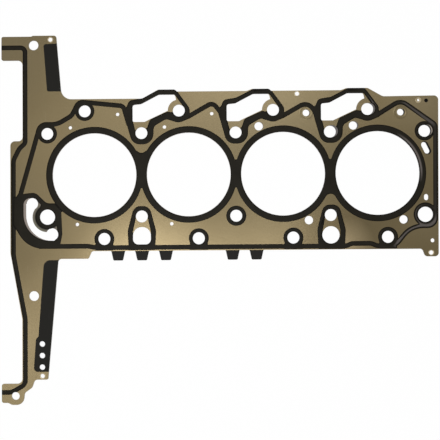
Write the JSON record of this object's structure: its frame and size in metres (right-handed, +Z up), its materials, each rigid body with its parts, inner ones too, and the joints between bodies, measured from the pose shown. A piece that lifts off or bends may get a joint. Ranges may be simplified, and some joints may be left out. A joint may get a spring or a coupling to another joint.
{
  "type": "cylinder head gasket",
  "caption": "Multi-layer steel cylinder head gasket with printed sealing beads and a timing case extension.",
  "frame": {"origin": "centre of the first cylinder bore on the underside, next to the timing case end", "axes": "+X along the row of cylinders away from the timing case, +Y towards the pockets' side, +Z up through the sheets to the printed beads"},
  "size_m": [0.4544, 0.3832, 0.0014],
  "materials": {
    "black_coating": "satin",
    "carrier_steel": "satin",
    "khaki_coating": "satin",
    "bead_rubber": "satin",
    "print_black": "satin",
    "rivet_steel": "satin"
  },
  "bodies": {
    "root": {"lower_sheet": "black_coating", "carrier_sheet": "carrier_steel", "upper_sheet": "khaki_coating", "bore_bead": "bead_rubber", "perimeter_bead": "bead_rubber", "timing_case_bead": "bead_rubber", "middle_bolt_bead": "bead_rubber", "upper_arm_print": "print_black", "lower_arm_print": "print_black", "rivets": "rivet_steel"}
  },
  "joints": []
}
